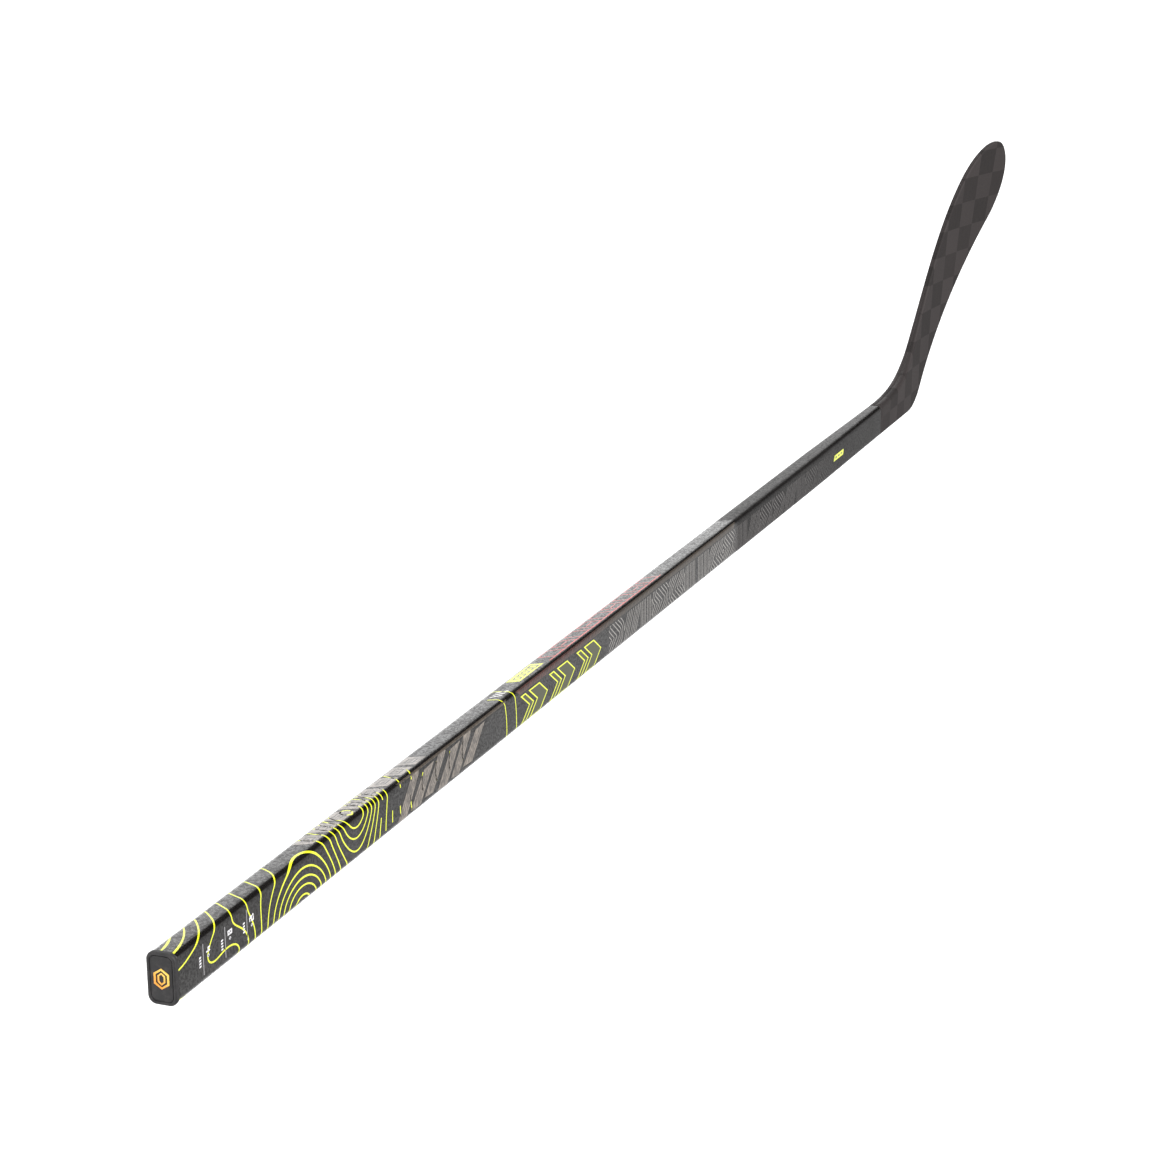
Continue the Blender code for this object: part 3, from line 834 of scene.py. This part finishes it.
BAND_START = 480 * MM
BAND_END = 938 * MM
BAND_LOW = FACE_HALF - 0.3 * MM
BAND_HIGH = FACE_HALF + 3.7 * MM


RIB_PITCH = 2.9 * MM


def make_corner_band(brown, rib):
    """The woven-looking band along the corner: a brown strip under many short ribs of uneven length."""
    strip = [(BAND_START, BAND_LOW), (BAND_END, BAND_LOW), (BAND_END + 6 * MM, BAND_HIGH),
             (BAND_START - 6 * MM, BAND_HIGH)]
    fade = [(286 * MM, FACE_HALF + 2.2 * MM), (455 * MM, FACE_HALF + 1.6 * MM),
            (458 * MM, BAND_HIGH), (282 * MM, BAND_HIGH)]
    ribs = []
    for k in range(int((BAND_END - BAND_START) / RIB_PITCH)):
        longer = 0.6 * ((k * 5) % 3)
        around = (BAND_LOW + BAND_HIGH) / 2 - longer * 0.5 * MM
        length, height = (0.9 + 0.25 * (k % 3)) * MM, (3.2 + longer) * MM
        ribs.append(slanted_bar(BAND_START + (k + 0.5) * RIB_PITCH, around, length, height, 0.25))
    print_on_shaft("corner_band", [strip, fade], brown)
    print_on_shaft("corner_ribs", ribs, rib, height=PRINT_HEIGHT + 0.05 * MM)


ECHO_SPACING = 3.3 * MM
ECHO_WIDTH = 0.85 * MM
ECHO_CELL = 0.75 * MM
ECHO_REACH = 14.5 * MM
ECHO_START = 650
ECHO_PITCH = 33
ECHO_COUNT = 22
# Each figure that echoes: a line through points, in millimetres from its middle.
ECHO_FIGURES = (
    ((-9, 8), (6, -3), (-9, -14)),
    ((-7, -14), (7, 8)),
    ((-10, -3), (0, 7), (10, -3), (0, -13), (-10, -3)),
    ((0, 8), (0, -14)),
    ((9, 8), (-6, -3), (9, -14)),
    ((-9, 6), (9, 6), (9, -12), (-9, -12), (-9, 6)),
)


def echo_lines(low, high, shift):
    """Lines at even distances from a row of simple figures, as ripples are, between low and high around.

    shift moves the figures round the shaft, in millimetres.
    """
    starts, ends = [], []
    for k in range(ECHO_COUNT):
        figure = ECHO_FIGURES[(k * k + k) // 2 % len(ECHO_FIGURES)]
        middle = np.array((ECHO_START + 14 + ECHO_PITCH * k, shift))
        places = [(middle + point) * MM for point in figure]
        starts += places[:-1]
        ends += places[1:]
    along = np.arange(ECHO_START * MM, (ECHO_START + ECHO_PITCH * ECHO_COUNT) * MM, ECHO_CELL)
    around = np.arange(low, high, ECHO_CELL)
    grid = np.stack(np.meshgrid(along, around, indexing="ij"), axis=-1)
    distance = distance_to_lines(grid.reshape(-1, 2), starts, ends).reshape(grid.shape[:2])
    lines = []
    for ring in range(1, 5):
        for chain in level_chains(along, around, distance, (ring - 0.35) * ECHO_SPACING):
            lines += stroke(simplified(chain, 0.05 * MM), ECHO_WIDTH)
    return lines


def make_ghost_pattern(ghost):
    """Faint echoing lines along the lower half of both wide faces."""
    front = echo_lines(-ECHO_REACH, FACE_HALF - 0.8 * MM, 0.0)
    back = [[(along, HALF_PERIMETER - around) for along, around in quad]
            for quad in echo_lines(-ECHO_REACH, ECHO_REACH, 3.0)]
    print_on_shaft("forehand_echoes", front, ghost)
    print_on_shaft("backhand_echoes", back, ghost)


def make_small_badge(neon, dark, black):
    """The little slanted neon badge near the throat, on a dark ground, with three dark bars."""
    middle, around, slant = 1244 * MM, 0.6 * MM, 0.5
    ground = slanted_bar(middle, around, 37 * MM, 7.6 * MM, slant)
    panel = slanted_bar(middle, around, 31 * MM, 5.2 * MM, slant)
    bars = [slanted_bar(middle + shift * MM, around, 5 * MM, 1.5 * MM, slant) for shift in (-8.5, 0, 8.5)]
    print_on_shaft("small_badge_ground", [ground], black, height=GROUND_HEIGHT)
    print_on_shaft("small_badge", [panel], neon)
    print_on_shaft("small_badge_bars", bars, dark, height=TOP_HEIGHT)


# ---- materials

class Nodes:
    """Short calls that add nodes to a tree."""

    def __init__(self, tree):
        self.tree = tree

    def add(self, kind, values=(), **settings):
        """Adds a node, sets its settings, and fills its first inputs with numbers or other outputs."""
        node = self.tree.nodes.new(kind)
        for key, setting in settings.items():
            setattr(node, key, setting)
        for socket, value in zip(node.inputs, values):
            self.fill(socket, value)
        return node

    def fill(self, socket, value):
        """Links an output to the socket, or sets the socket's own value; None leaves it alone."""
        if isinstance(value, bpy.types.NodeSocket):
            self.tree.links.new(value, socket)
        elif value is not None:
            if socket.type == "RGBA" and len(value) == 3:
                value = (*value, 1.0)
            socket.default_value = value

    def vector(self, operation, *values):
        return self.add("ShaderNodeVectorMath", values, operation=operation).outputs[0]

    def number(self, operation, *values):
        return self.add("ShaderNodeMath", values, operation=operation).outputs[0]

    def parts(self, vector):
        return self.add("ShaderNodeSeparateXYZ", (vector,)).outputs

    def spread(self, value, low, high, start=0.0, end=1.0):
        """Maps low..high to start..end, smoothly and clamped."""
        values = (value, low, high, start, end)
        return self.add("ShaderNodeMapRange", values, interpolation_type="SMOOTHSTEP").outputs[0]

    def choose(self, share, first, second):
        """A number from first to second, as share goes from 0 to 1."""
        return self.add("ShaderNodeMix", (share, None, first, second), data_type="FLOAT").outputs[0]

    def mix(self, share, first, second):
        """A colour from first to second, as share goes from 0 to 1."""
        values = (share, None, None, None, None, None, first, second)
        return self.add("ShaderNodeMix", values, data_type="RGBA").outputs[2]

    def blend(self, value, low, high, first, second, most=1.0):
        """A colour from first towards second, as value goes from low to high."""
        return self.mix(self.spread(value, low, high, 0.0, most), first, second)


class Paint(Nodes):
    """A material. Its places are measured in the stick's own frame."""

    def __init__(self, name, roughness=0.5, coat=0.0, coat_roughness=0.05, metallic=0.0):
        self.material = bpy.data.materials.new(name)
        self.material.use_nodes = True
        super().__init__(self.material.node_tree)
        self.shader = self.tree.nodes["Principled BSDF"]
        self.feed("Roughness", roughness)
        self.feed("Coat Weight", coat)
        self.feed("Coat Roughness", coat_roughness)
        self.feed("Metallic", metallic)
        coordinates = self.add("ShaderNodeTexCoord")
        self.place = self.vector("SUBTRACT", coordinates.outputs["Object"], tuple(BUTT))

    def feed(self, name, value):
        """Feeds one of the shader's own inputs."""
        self.fill(self.shader.inputs[name], value)

    def rough(self, value, reach, least):
        """Roughness that follows a value, from least up by reach."""
        self.feed("Roughness", self.number("MULTIPLY_ADD", value, reach, least))

    def noise(self, scale, detail=2.0, vector=None, roughness=0.5):
        values = (vector or self.place, None, scale, detail, roughness)
        return self.add("ShaderNodeTexNoise", values).outputs["Fac"]

    def streaks(self, detail, stretch, vector=None):
        """Noise drawn out by its own scale on each axis."""
        return self.noise(1.0, detail, self.vector("MULTIPLY", vector or self.place, stretch))

    def bump(self, height, distance, strength):
        node = self.add("ShaderNodeBump", (strength, distance, None, height))
        self.feed("Normal", node.outputs[0])


FINISH_CHANGE = 0.938
FINISH_FADE = (FINISH_CHANGE - 0.004, FINISH_CHANGE + 0.006)
COAT_ROUGHNESS = 0.07
CARBON_DARK = (0.0015, 0.0013, 0.0013)
CARBON_LIGHT = (0.0100, 0.0086, 0.0080)
WARM_GLOSS = (1.0, 0.92, 0.90)


def shaft_carbon():
    """Clear-coated carbon near the butt, matt carbon from the finish change to the blade."""
    paint = Paint("shaft_carbon", coat_roughness=COAT_ROUGHNESS)
    x, _, z = paint.parts(paint.place)
    slanted = paint.number("MULTIPLY_ADD", z, -0.9, x)
    matt = paint.spread(slanted, *FINISH_FADE)
    throat = paint.spread(x, 1.15, SHAFT_END)
    grains = paint.spread(paint.noise(560.0, 4.0, roughness=0.75), 0.41, 0.59)
    clouds = paint.spread(paint.noise(60.0, 3.0), 0.30, 0.70, 0.6, 1.0)
    streaks = paint.streaks(2.0, (90.0, 2200.0, 2200.0))
    tone = paint.number("MULTIPLY_ADD", grains, 0.6, paint.number("MULTIPLY", streaks, 0.4))
    tone = paint.number("MULTIPLY", tone, clouds)
    tone = paint.choose(throat, tone, paint.number("MULTIPLY", tone, 0.7))
    paint.feed("Base Color", paint.mix(tone, CARBON_DARK, CARBON_LIGHT))
    paint.rough(grains, -0.16, paint.choose(throat, paint.choose(matt, 0.40, 0.47), 0.42))
    gloss = paint.spread(tone, 0.15, 0.65, 0.36, 1.0)
    paint.feed("Coat Weight", paint.number("MULTIPLY", gloss, paint.choose(matt, 1.0, 0.05)))
    paint.feed("Specular IOR Level", 0.20)
    paint.feed("Coat IOR", 1.58)
    paint.feed("Specular Tint", WARM_GLOSS)
    fine = paint.number("MULTIPLY", paint.noise(1700.0), 0.4)
    paint.bump(paint.number("MULTIPLY_ADD", grains, 0.6, fine), 0.00008, 0.35)
    return paint.material


PATCH_ALONG = 0.040
PATCH_UP = 0.034
PATCH_DRIFT = 0.085
PATCH_START = 0.280
PATCH_LEVEL = 0.018


def blade_carbon():
    """Spread-tow carbon: diamond patches that alternate in tone, each with fibres along one diagonal."""
    paint = Paint("blade_carbon")
    paint.feed("Specular IOR Level", 0.32)
    paint.feed("Specular Tint", WARM_GLOSS)
    from_heel = paint.vector("SUBTRACT", paint.place, (HEEL.x, HEEL.y, 0.0))
    turn = (from_heel, None, None, -LIE_TURN)
    turned = paint.add("ShaderNodeVectorRotate", turn, rotation_type="Z_AXIS")
    u, v, _ = paint.parts(turned.outputs[0])
    back = paint.number("SUBTRACT", u, PATCH_START)
    level = paint.number("ADD", v, paint.number("MULTIPLY_ADD", back, PATCH_DRIFT, -PATCH_LEVEL))
    run = paint.number("DIVIDE", back, PATCH_ALONG)
    climb = paint.number("DIVIDE", level, PATCH_UP)
    one = paint.number("ADD", paint.number("ADD", run, climb), 0.5)
    two = paint.number("ADD", paint.number("SUBTRACT", run, climb), 0.5)
    both = paint.add("ShaderNodeCombineXYZ", (one, two, 0.5)).outputs[0]
    checker = paint.add("ShaderNodeTexChecker", (both, (1, 1, 1), (0, 0, 0), 1.0)).outputs["Fac"]
    first = paint.streaks(2.0, (3.0, 90.0, 1.0), both)
    second = paint.streaks(2.0, (90.0, 3.0, 1.0), both)
    fibres = paint.choose(checker, first, second)
    cell = paint.vector("FLOOR", both)
    chance = paint.add("ShaderNodeTexWhiteNoise", (cell,), noise_dimensions="3D").outputs["Value"]
    tone = paint.number("MULTIPLY_ADD", chance, 0.35, paint.number("MULTIPLY", checker, 0.65))
    x, _, _ = paint.parts(paint.place)
    tone = paint.choose(paint.spread(x, SHAFT_END, SHAFT_END + 0.075), 0.5, tone)
    colour = paint.mix(tone, (0.0050, 0.0040, 0.0040), (0.0200, 0.0160, 0.0160))
    colour = paint.blend(fibres, 0.35, 0.65, colour, (0.032, 0.027, 0.027), most=0.25)
    paint.feed("Base Color", colour)
    paint.rough(fibres, 0.12, paint.choose(checker, 0.64, 0.56))
    grains = paint.number("MULTIPLY", paint.noise(1300.0), 0.2)
    paint.bump(paint.number("MULTIPLY_ADD", fibres, 0.8, grains), 0.00012, 0.4)
    return paint.material


def printed(name, colour, worn=0.85, coat=1.0, roughness=0.35):
    """Ink, by default under the clear coat, and a little darker in fine grains where it is thin."""
    paint = Paint(name, coat=coat, coat_roughness=COAT_ROUGHNESS)
    uneven = paint.noise(700.0, 3.0)
    thin = tuple(c * worn for c in colour)
    paint.feed("Base Color", paint.blend(uneven, 0.35, 0.65, thin, colour))
    paint.rough(uneven, 0.12, roughness - 0.06)
    paint.bump(paint.noise(900.0), 0.00003, 0.3)
    return paint.material


def brushed_bronze(name, dark, light):
    """Metallic ink with streaks along its strokes and thin places where the carbon shows through."""
    paint = Paint(name, coat=1.0, coat_roughness=COAT_ROUGHNESS, metallic=0.2)
    streaks = paint.streaks(3.0, (900.0, 300.0, 500.0))
    colour = paint.blend(streaks, 0.35, 0.65, dark, light)
    colour = paint.blend(paint.noise(160.0), 0.45, 0.75, colour, (0.035, 0.030, 0.028), most=0.5)
    paint.feed("Base Color", colour)
    paint.rough(streaks, 0.2, 0.3)
    paint.bump(streaks, 0.00004, 0.4)
    return paint.material


def band_brown():
    """The corner band's ink, red at its butt end and brown towards the blade."""
    paint = Paint("band_brown", roughness=0.4, coat=0.6, coat_roughness=0.12)
    x, _, _ = paint.parts(paint.place)
    grains = paint.noise(900.0, 3.0)
    red = paint.number("MULTIPLY", paint.spread(x, 0.46, 0.49), paint.spread(x, 0.56, 0.68, 0.75, 0.0))
    brown = paint.blend(grains, 0.35, 0.65, (0.030, 0.024, 0.019), (0.085, 0.068, 0.052))
    rust = paint.blend(grains, 0.35, 0.65, (0.040, 0.012, 0.010), (0.130, 0.040, 0.034))
    paint.feed("Base Color", paint.mix(red, brown, rust))
    paint.bump(grains, 0.00005, 0.4)
    return paint.material


def ghost_ink():
    """Satin grey ink that is a little lighter than the carbon, fainter when matt, and gone by the throat."""
    paint = Paint("ghost_ink", coat_roughness=COAT_ROUGHNESS)
    x, _, _ = paint.parts(paint.place)
    matt = paint.spread(x, *FINISH_FADE)
    grains = paint.noise(900.0)
    faint = paint.blend(x, 1.05, 1.30, (0.140, 0.130, 0.127), (0.020, 0.019, 0.018))
    colour = paint.mix(matt, (0.300, 0.280, 0.260), faint)
    paint.feed("Base Color", paint.blend(grains, 0.4, 0.7, colour, (0.03, 0.028, 0.027), most=0.4))
    paint.feed("Roughness", paint.choose(matt, 0.35, 0.5))
    paint.feed("Coat Weight", paint.choose(matt, 1.0, 0.04))
    paint.bump(grains, 0.00003, 0.3)
    return paint.material


def cap_rubber():
    """Moulded rubber: nearly black, with a fine spark-eroded grain and dusty high spots."""
    paint = Paint("cap_rubber")
    grain = paint.noise(2600.0)
    dust = paint.noise(240.0, 4.0)
    paint.feed("Base Color", paint.blend(dust, 0.42, 0.75, (0.012, 0.011, 0.012), (0.030, 0.027, 0.028)))
    paint.rough(grain, 0.2, 0.48)
    paint.bump(grain, 0.0001, 0.5)
    return paint.material


def emblem_enamel():
    """Orange enamel that turns yellower towards one edge."""
    paint = Paint("emblem_enamel", coat=0.5, coat_roughness=0.1)
    _, y, z = paint.parts(paint.place)
    colour = paint.blend(paint.number("ADD", y, z), -0.008, 0.008, (0.95, 0.36, 0.02), (0.98, 0.66, 0.10))
    speck = paint.noise(1800.0)
    paint.feed("Base Color", paint.blend(speck, 0.5, 0.8, colour, (0.55, 0.16, 0.01), most=0.3))
    paint.rough(speck, 0.2, 0.3)
    paint.bump(speck, 0.00004, 0.3)
    return paint.material


def stem_plastic():
    """Injection-moulded nylon with flow marks along it."""
    paint = Paint("stem_plastic")
    flow = paint.streaks(3.0, (60.0, 500.0, 500.0))
    grain = paint.noise(1600.0)
    paint.feed("Base Color", paint.blend(flow, 0.3, 0.7, (0.030, 0.030, 0.032), (0.062, 0.060, 0.062)))
    paint.rough(grain, 0.2, 0.34)
    paint.bump(grain, 0.00006, 0.4)
    return paint.material


def foam():
    """Cream closed-cell foam."""
    paint = Paint("core_foam", roughness=0.9)
    cells = paint.add("ShaderNodeTexVoronoi", (paint.place, None, 1100.0)).outputs["Distance"]
    paint.feed("Base Color", paint.blend(cells, 0.1, 0.7, (0.62, 0.56, 0.42), (0.46, 0.40, 0.28)))
    paint.bump(cells, 0.0003, 0.6)
    return paint.material


def fibre(name, dark, light, stretch):
    """Resin-wet fibres, drawn out by their own scale on each axis."""
    paint = Paint(name, coat=0.3, coat_roughness=0.2)
    strands = paint.streaks(3.0, stretch)
    paint.feed("Base Color", paint.blend(strands, 0.35, 0.65, dark, light))
    paint.rough(strands, 0.25, 0.35)
    paint.bump(strands, 0.0001, 0.5)
    return paint.material


def floor_paint():
    """A plain pale floor, a shade uneven."""
    paint = Paint("floor_paint", roughness=0.9)
    paint.feed("Specular IOR Level", 0.1)
    paint.feed("Base Color", paint.mix(paint.noise(0.8), (0.86, 0.86, 0.86), (0.89, 0.89, 0.89)))
    return paint.material


# ---- stage, light and camera

# The camera's place and the point that it looks at, measured from the centre of the butt face.
CAMERA_PLACE = BUTT + Vector((-1.224, 0.643, 0.740))
CAMERA_AIM = BUTT + Vector((0.865, -0.022, -0.105))
CAMERA_ROLL = math.radians(95.9)
CAMERA_LENS = 88.6
FLOOR_SIZE = 60.0
FLOOR_DROP = 0.4
SUN_STRENGTH = 4.1
SUN_WIDTH = math.radians(70.0)
SKY_STRENGTH = 0.60
FLAG_STRENGTH = 0.02
# The flag's edges fade between two values of the direction's x, its lean towards the corner, and its z.
FLAG_LEAN = 0.30
FLAG_FRONT = (0.30, 0.50)
FLAG_SIDE = (-0.03, 0.03)
FLAG_FOOT = (0.02, 0.06)


def make_camera():
    data = bpy.data.cameras.new("camera")
    data.lens = CAMERA_LENS
    data.sensor_width = 36.0
    data.clip_end = 200.0
    camera = add_object("camera", data)
    aim = (CAMERA_AIM - CAMERA_PLACE).to_track_quat("-Z", "Y")
    camera.location = CAMERA_PLACE
    camera.rotation_mode = "QUATERNION"
    camera.rotation_quaternion = aim @ Quaternion((0.0, 0.0, 1.0), CAMERA_ROLL)
    bpy.context.scene.camera = camera


def make_floor():
    """A floor well below the stick, as under a hung product, so that no shadow of it shows."""
    bm = bmesh.new()
    bmesh.ops.create_grid(bm, x_segments=8, y_segments=8, size=FLOOR_SIZE / 2)
    floor = add_mesh("floor", bm, floor_paint())
    floor.location.z = cad_box[0][2] - FLOOR_DROP


def make_lights():
    """A wide soft sun from high on the toe's side, in a pale sky with a dark flag that cameras don't see."""
    sun = bpy.data.lights.new("soft_sun", "SUN")
    sun.energy = SUN_STRENGTH
    sun.angle = SUN_WIDTH
    lamp = add_object("soft_sun", sun)
    lamp.rotation_mode = "QUATERNION"
    lamp.rotation_quaternion = Vector((0.10, -0.45, -1.0)).to_track_quat("-Z", "Y")

    world = bpy.data.worlds.new("studio")
    bpy.context.scene.world = world
    world.use_nodes = True
    sky = Nodes(world.node_tree)
    direction = sky.add("ShaderNodeTexCoord").outputs["Generated"]
    x, _, z = sky.parts(direction)
    lean = (direction, (0.0, 1.0, -FLAG_LEAN))
    side = sky.add("ShaderNodeVectorMath", lean, operation="DOT_PRODUCT").outputs["Value"]
    shade = sky.number("MULTIPLY", sky.spread(x, *FLAG_FRONT), sky.spread(side, *FLAG_SIDE))
    shade = sky.number("MULTIPLY", shade, sky.spread(z, *FLAG_FOOT))
    reflected = sky.choose(shade, SKY_STRENGTH, FLAG_STRENGTH)
    is_camera = sky.add("ShaderNodeLightPath").outputs["Is Camera Ray"]
    background = sky.tree.nodes["Background"]
    sky.fill(background.inputs["Color"], (1.0, 1.0, 1.0))
    sky.fill(background.inputs["Strength"], sky.choose(is_camera, reflected, SKY_STRENGTH))
    bpy.context.scene.view_settings.view_transform = "Standard"


# ---- putting it together

def dress_inner_nodes():
    """Materials of the CAD pieces that stay: the cores, rails and blocks inside the blade."""
    tow, block, plastic = (300.0, 2200.0, 2200.0), (300.0, 300.0, 900.0), (200.0, 200.0, 200.0)
    hosel = fibre("hosel_fibre", (0.07, 0.06, 0.04), (0.16, 0.14, 0.09), tow)
    heel = fibre("heel_resin", (0.06, 0.055, 0.045), (0.11, 0.10, 0.075), block)
    toe = fibre("toe_plastic", (0.035, 0.035, 0.036), (0.070, 0.068, 0.066), plastic)
    rail = fibre("rail_fibre", (0.028, 0.028, 0.030), (0.080, 0.078, 0.078), tow)
    stringer = fibre("stringer_carbon", (0.018, 0.018, 0.020), (0.045, 0.045, 0.048), tow)
    finishes = ((hosel, ("hosel_core",)), (heel, ("heel_block",)), (toe, ("toe_insert",)),
                (rail, ("bottom_rail", "top_rail")), (stringer, ("lower_stringer", "upper_stringer")),
                (foam(), ("lower_core", "middle_core", "upper_core")))
    for material, names in finishes:
        for name in names:
            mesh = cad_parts[name].data
            mesh.materials.clear()
            mesh.materials.append(material)


make_camera()
make_floor()
make_lights()

make_shaft_shell(shaft_carbon())
blade_weave = blade_carbon()
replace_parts(make_skin("forehand_skin", 1, blade_weave), "front_skin")
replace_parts(make_skin("backhand_skin", -1, blade_weave), "back_skin")
make_cap(cap_rubber())
make_emblem(emblem_enamel())
make_stem(stem_plastic())
dress_inner_nodes()

neon = printed("neon_ink", (0.80, 0.86, 0.02), worn=0.92)
white = printed("white_ink", (0.85, 0.84, 0.86))
grey = printed("grey_ink", (0.30, 0.29, 0.30))
olive = printed("olive_ink", (0.036, 0.040, 0.004), coat=0.7)
dark = printed("dark_ink", (0.020, 0.018, 0.018))
black = printed("black_ink", (0.006, 0.006, 0.006), coat=0.0, roughness=0.7)
red = printed("red_ink", (0.55, 0.055, 0.050))
rib = printed("rib_ink", (0.024, 0.019, 0.016), coat=0.6)
bronze = brushed_bronze("bronze_ink", (0.105, 0.086, 0.069), (0.270, 0.228, 0.190))
stone = brushed_bronze("stone_ink", (0.150, 0.128, 0.110), (0.360, 0.320, 0.285))

make_contours(neon)
make_trim_scale(white, grey)
make_brush_strokes(bronze, dark)
make_side_blocks(stone, dark)
make_side_ticks(white)
make_side_badge(neon, dark)
make_chevrons(neon, olive)
make_red_outlines(red)
make_corner_band(band_brown(), rib)
make_ghost_pattern(ghost_ink())
make_small_badge(neon, dark, black)
